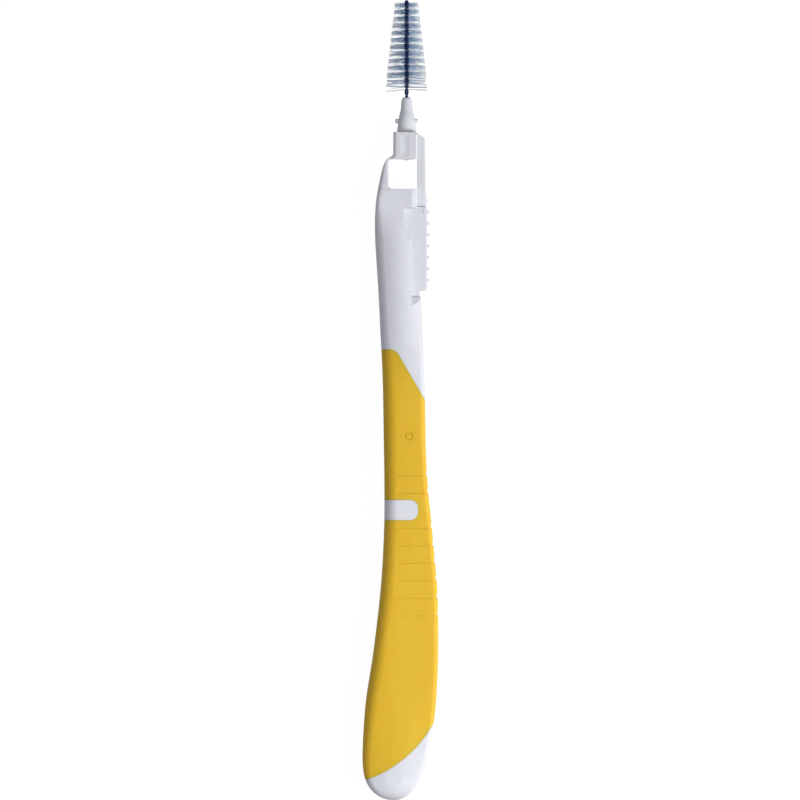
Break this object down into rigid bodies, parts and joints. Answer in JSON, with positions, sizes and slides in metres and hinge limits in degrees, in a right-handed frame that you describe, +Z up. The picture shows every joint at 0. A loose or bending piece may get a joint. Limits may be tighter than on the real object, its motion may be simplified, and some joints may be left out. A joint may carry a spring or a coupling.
{
  "type": "interdental brush",
  "caption": "Folding interdental brush: twisted-wire bristle head on a slim curved handle with a soft grip, and a thumb slider whose strap tilts the head sideways.",
  "frame": {"origin": "middle of the underside of the box round the brush as it lies on its flank", "axes": "+Y from the butt to the wire tip, +X towards the thumb side with the slider, +Z up from the flank it lies on"},
  "size_m": [0.0132, 0.14, 0.0084],
  "materials": {
    "white_plastic": "satin moulded",
    "grip_elastomer": "soft matte",
    "hub_plastic": "satin moulded",
    "wire_steel": "drawn wire",
    "wire_coating": "thin glossy skin",
    "bristle_nylon": "fine filaments"
  },
  "bodies": {
    "handle": {"handle_core": "white_plastic", "grip_overmould": "grip_elastomer", "neck_film_hinge": "white_plastic"},
    "head": {"head_socket": "white_plastic", "brush_hub": "hub_plastic", "wire_core": "wire_steel", "wire_coating": "wire_coating", "bristles": "bristle_nylon", "strap_head_film": "white_plastic"},
    "strap": {"pull_strap": "white_plastic"},
    "slider": {"thumb_slider": "white_plastic", "strap_slider_film": "white_plastic"}
  },
  "joints": [
    {"name": "head_tilt", "type": "hinge", "parent": "handle", "child": "head", "pos_m": [-0.00196, 0.04195, 0.0042], "axis": [0, 0, -1], "range_deg": [0, 90], "deforming": ["neck_film_hinge"]},
    {"name": "strap_swing", "type": "hinge", "parent": "head", "child": "strap", "pos_m": [0.00285, 0.04676, 0.0042], "axis": [0, 0, 1], "range_deg": [0, 90], "deforming": ["strap_head_film"]},
    {"name": "slider_travel", "type": "slide", "parent": "handle", "child": "slider", "axis": [0, -1, 0], "range_m": [0, 0.00962], "deforming": ["strap_slider_film"]}
  ],
  "couplings": [
    {"joint": "head_tilt", "follows": "slider_travel", "rad_per_m": 163.28},
    {"joint": "strap_swing", "follows": "slider_travel", "rad_per_m": 163.28}
  ]
}
